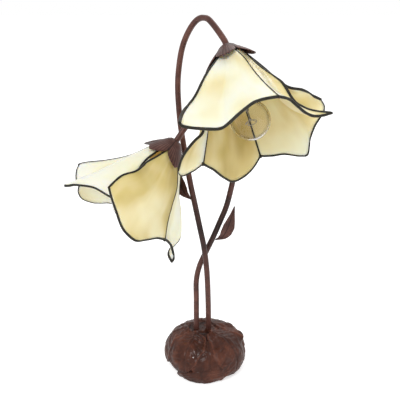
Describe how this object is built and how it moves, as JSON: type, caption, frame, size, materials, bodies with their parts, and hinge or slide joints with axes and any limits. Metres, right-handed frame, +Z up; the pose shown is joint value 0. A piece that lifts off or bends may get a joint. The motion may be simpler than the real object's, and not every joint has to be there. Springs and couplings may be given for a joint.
{
  "type": "table lamp",
  "caption": "Table lamp with two drooping leaded-glass flower shades on crossing bent stems, a leaf on each stem and a leafy cast base.",
  "frame": {"origin": "centre of the base on the surface the lamp stands on", "axes": "+Z up, +X to the right as seen from the front, -Y towards the front, where both flowers open"},
  "size_m": [0.4045, 0.2925, 0.6261],
  "materials": {
    "bronze": "brown patina, satin",
    "dark_bronze": "dark red-brown patina, semi-gloss",
    "opal_glass": "opalescent streaky art glass, gloss",
    "lead_came": "blackened solder over foil, satin",
    "clear_glass": "clear",
    "filament_wire": "thin wire and glass mount",
    "brass": "plain",
    "steel": "zinc plated",
    "ceramic": "glazed porcelain",
    "felt": "felt",
    "bush_black": "matte"
  },
  "bodies": {
    "lamp": {"base_casting": "dark_bronze", "stem_boss": "dark_bronze", "base_plate": "steel", "plate_screws": "steel", "felt_foot": "felt", "stem_washers": "steel", "stem_nuts": "steel", "cable_bush": "bush_black", "terminal_block": "ceramic", "tall_stem": "bronze", "short_stem": "bronze", "tall_leaf": "bronze", "short_leaf": "bronze", "upper_calyx": "bronze", "upper_collar": "brass", "upper_lock_nuts": "brass", "upper_holder_cap": "brass", "upper_holder_body": "ceramic", "upper_insulator": "ceramic", "upper_contact": "brass", "upper_petal_1": "opal_glass", "upper_petal_2": "opal_glass", "upper_petal_3": "opal_glass", "upper_petal_4": "opal_glass", "upper_petal_5": "opal_glass", "upper_lead_1": "lead_came", "upper_lead_2": "lead_came", "upper_lead_3": "lead_came", "upper_lead_4": "lead_came", "upper_lead_5": "lead_came", "lower_calyx": "bronze", "lower_collar": "brass", "lower_lock_nuts": "brass", "lower_holder_cap": "brass", "lower_holder_body": "ceramic", "lower_insulator": "ceramic", "lower_contact": "brass", "lower_petal_1": "opal_glass", "lower_petal_2": "opal_glass", "lower_petal_3": "opal_glass", "lower_petal_4": "opal_glass", "lower_petal_5": "opal_glass", "lower_lead_1": "lead_came", "lower_lead_2": "lead_came", "lower_lead_3": "lead_came", "lower_lead_4": "lead_came", "lower_lead_5": "lead_came"},
    "upper_bulb": {"upper_bulb_glass": "clear_glass", "upper_bulb_cap": "brass", "upper_filament": "filament_wire"},
    "lower_bulb": {"lower_bulb_glass": "clear_glass", "lower_bulb_cap": "brass", "lower_filament": "filament_wire"}
  },
  "joints": [
    {"name": "upper_bulb_turn", "type": "hinge", "parent": "lamp", "child": "upper_bulb", "pos_m": [0.0324, -0.05, 0.5784], "axis": [0.2614, -0.6159, -0.7431], "range_deg": [0, 1080]},
    {"name": "lower_bulb_turn", "type": "hinge", "parent": "lamp", "child": "lower_bulb", "pos_m": [-0.0547, 0, 0.4168], "axis": [-0.5988, -0.2444, -0.7627], "range_deg": [0, 1080]}
  ]
}
